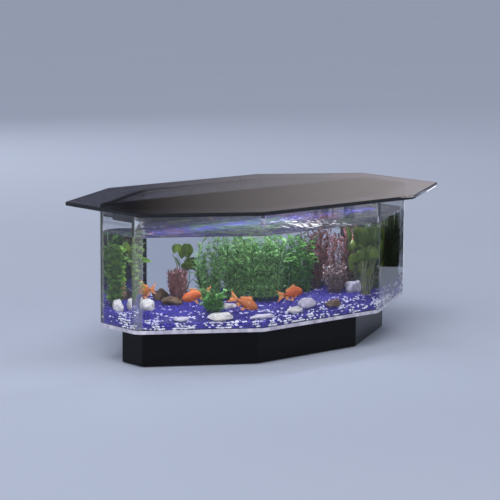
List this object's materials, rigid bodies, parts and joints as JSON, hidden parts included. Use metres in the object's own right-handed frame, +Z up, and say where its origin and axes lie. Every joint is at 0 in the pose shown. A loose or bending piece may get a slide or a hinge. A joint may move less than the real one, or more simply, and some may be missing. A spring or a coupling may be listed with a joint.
{
  "type": "aquarium coffee table",
  "caption": "Octagonal clear acrylic fish tank on a black plinth, with a light and filter hood and a loose glass table top that lifts off.",
  "frame": {"origin": "on the floor, under the middle of the plinth", "axes": "+X along the table's length, +Y towards the side with the switch and cord outlet, +Z up"},
  "size_m": [1.108, 0.656, 0.432],
  "materials": {
    "black_acrylic": "polished",
    "clear_acrylic": "polished clear",
    "smoked_glass": "polished, lightly smoked",
    "clear_silicone": "satin clear",
    "black_rubber": "matt",
    "black_plastic": "satin",
    "white_enamel": "gloss white",
    "lamp_phosphor": "phosphor-coated glass",
    "cap_metal": "satin",
    "white_plastic": "satin",
    "filter_foam": "open-cell foam",
    "grey_enamel": "satin grey",
    "zinc_steel": "zinc plated",
    "white_ceramic": "ground",
    "blue_gravel": "coated blue gravel with white chips",
    "white_stone": "water-worn",
    "brown_stone": "rough",
    "pale_stone": "water-worn",
    "broad_green_leaf": "moulded leaf",
    "lily_green_leaf": "moulded leaf",
    "coral_pink_leaf": "moulded leaf",
    "fern_green_leaf": "moulded leaf",
    "bush_green_leaf": "moulded leaf",
    "red_leaf": "moulded leaf",
    "beige_leaf": "moulded leaf",
    "goldfish_skin": "scaled"
  },
  "bodies": {
    "tank": {"foot_pads": "black_rubber", "plinth_base_ring": "black_acrylic", "plinth_skirt": "black_acrylic", "plinth_deck": "black_acrylic", "plinth_spine": "black_acrylic", "plinth_ribs": "black_acrylic", "ballast": "grey_enamel", "ballast_screws": "zinc_steel", "switch_housing": "black_plastic", "switch_pin": "zinc_steel", "cord_grommet": "black_rubber", "tank_floor": "clear_acrylic", "tank_wall": "clear_acrylic", "rim_flange": "clear_acrylic", "bumper_pads": "clear_silicone", "cable_standpipe": "black_plastic", "hood_housing": "black_plastic", "hood_lid": "black_plastic", "lamp_lens": "clear_acrylic", "reflector": "white_enamel", "lamp_tube": "lamp_phosphor", "lamp_caps": "cap_metal", "lampholders": "white_plastic", "filter_sponge": "filter_foam", "return_spout": "black_plastic", "terminal_block": "white_plastic", "wiring_loom": "black_rubber", "pump_motor": "black_plastic", "pump_chamber": "black_plastic", "impeller_shaft": "white_ceramic", "intake_strainer": "black_plastic", "riser_tube": "black_plastic", "pump_hanger": "black_plastic", "pump_lead": "black_rubber", "gravel_bed": "blue_gravel", "white_stones": "white_stone", "brown_stones": "brown_stone", "pale_stones": "pale_stone", "broad_leaf_plant": "broad_green_leaf", "lily_plant_left": "lily_green_leaf", "pink_coral_plant": "coral_pink_leaf", "low_green_plant": "bush_green_leaf", "fern_plants": "fern_green_leaf", "bush_plants": "bush_green_leaf", "red_stem_plants": "red_leaf", "beige_plant": "beige_leaf", "lily_plant_right": "lily_green_leaf", "end_weed_plants": "fern_green_leaf", "goldfish": "goldfish_skin"},
    "glass_top": {"glass_top": "smoked_glass"},
    "switch_rocker": {"rocker": "black_plastic"},
    "pump_impeller": {"impeller": "white_plastic"},
    "pump_dial": {"flow_dial": "black_plastic"}
  },
  "joints": [
    {"name": "glass_lift", "type": "slide", "parent": "tank", "child": "glass_top", "axis": [0, 0, 1], "range_m": [0, 0.3]},
    {"name": "rocker_tilt", "type": "hinge", "parent": "tank", "child": "switch_rocker", "pos_m": [-0.11, 0.2, 0.052], "axis": [1, 0, 0], "range_deg": [-16, 0]},
    {"name": "impeller_spin", "type": "hinge", "parent": "tank", "child": "pump_impeller", "pos_m": [0.3, 0.04, 0.3], "axis": [0, 0, 1], "continuous": true},
    {"name": "dial_turn", "type": "hinge", "parent": "tank", "child": "pump_dial", "pos_m": [0.323, 0.04, 0.292], "axis": [1, 0, 0], "range_deg": [0, 90]}
  ]
}
